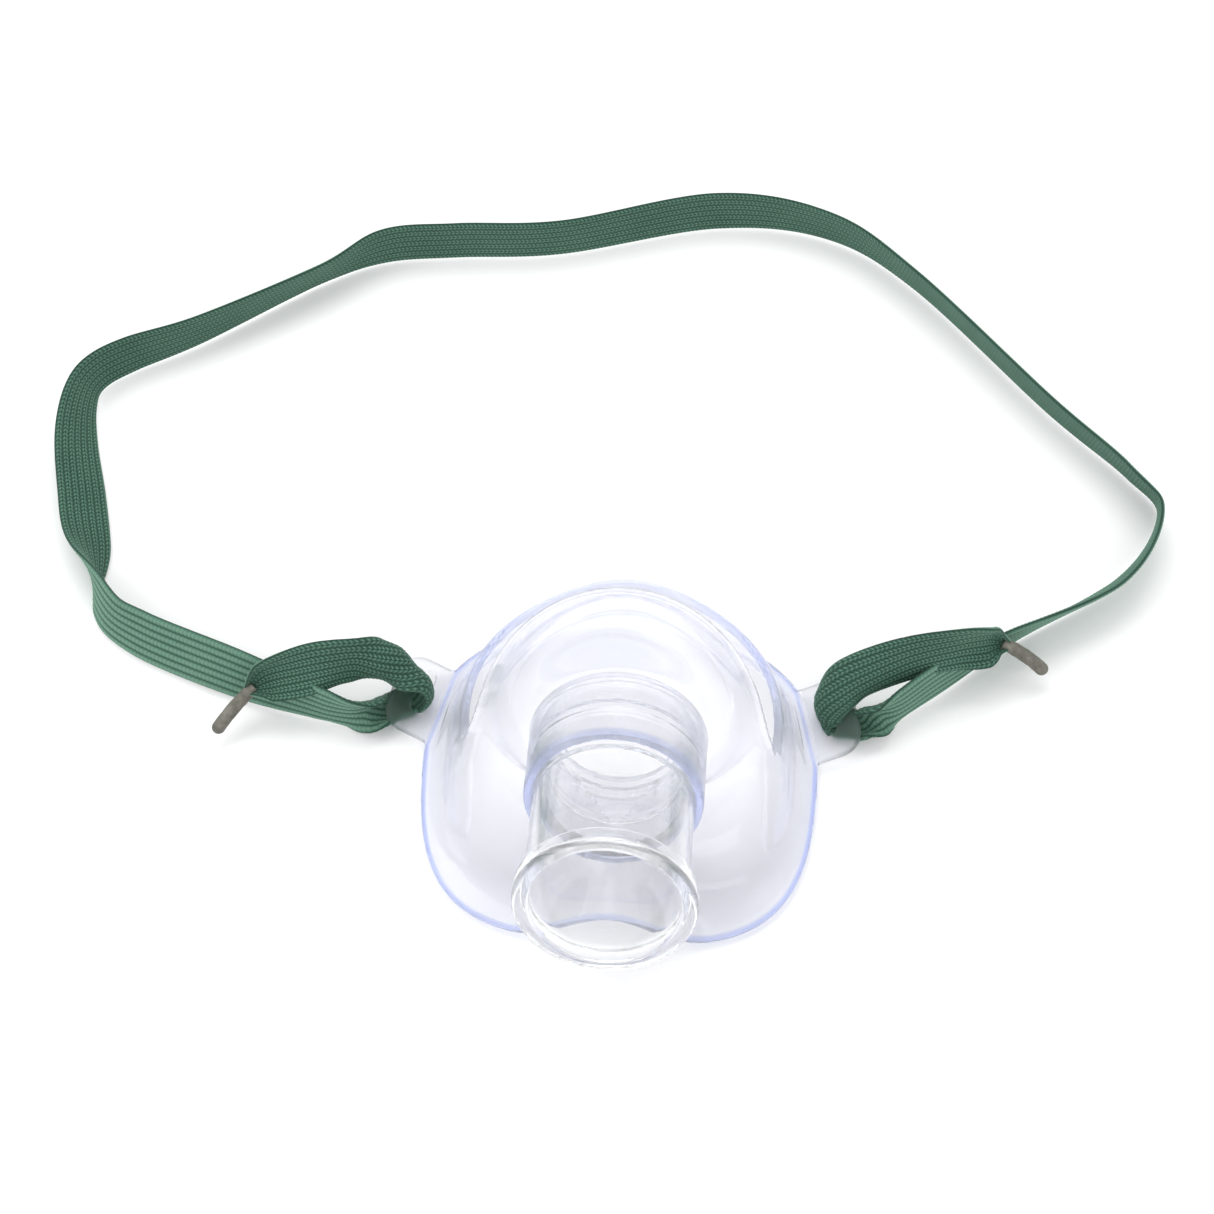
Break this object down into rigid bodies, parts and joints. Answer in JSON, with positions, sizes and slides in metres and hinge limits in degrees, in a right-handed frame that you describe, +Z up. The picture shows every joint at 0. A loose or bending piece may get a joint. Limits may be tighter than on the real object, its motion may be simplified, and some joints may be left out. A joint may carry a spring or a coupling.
{
  "type": "tracheostomy mask",
  "caption": "Clear soft dome mask with a suction opening, a swivel tubing connector on its front boss and a flat green elastic neck strap looped through two side tabs.",
  "frame": {"origin": "middle of the mask's footprint on the table, under the box of the mask and connector without the strap", "axes": "+Z up from the table, connector points to -Y and 21 degrees upward, +X to the mask's right-hand tab as seen from the connector's mouth side camera"},
  "size_m": [0.1629, 0.1327, 0.042],
  "materials": {
    "soft_pvc": "soft clear vinyl, faintly blue in its cut edges",
    "rigid_clear": "rigid clear plastic, polished",
    "elastic_strap": "knitted elastic with lengthwise ribs",
    "crimp_metal": "matt grey-brown"
  },
  "bodies": {
    "mask": {"mask_dome": "soft_pvc", "tube_boss": "soft_pvc", "left_strap_tab": "soft_pvc", "right_strap_tab": "soft_pvc", "head_strap": "elastic_strap", "left_ferrule": "crimp_metal", "right_ferrule": "crimp_metal"},
    "connector": {"tubing_connector": "rigid_clear"}
  },
  "joints": [
    {"name": "connector_swivel", "type": "hinge", "parent": "mask", "child": "connector", "pos_m": [0, 0.0029, 0.019], "axis": [0, -0.9336, 0.3584], "continuous": true}
  ]
}
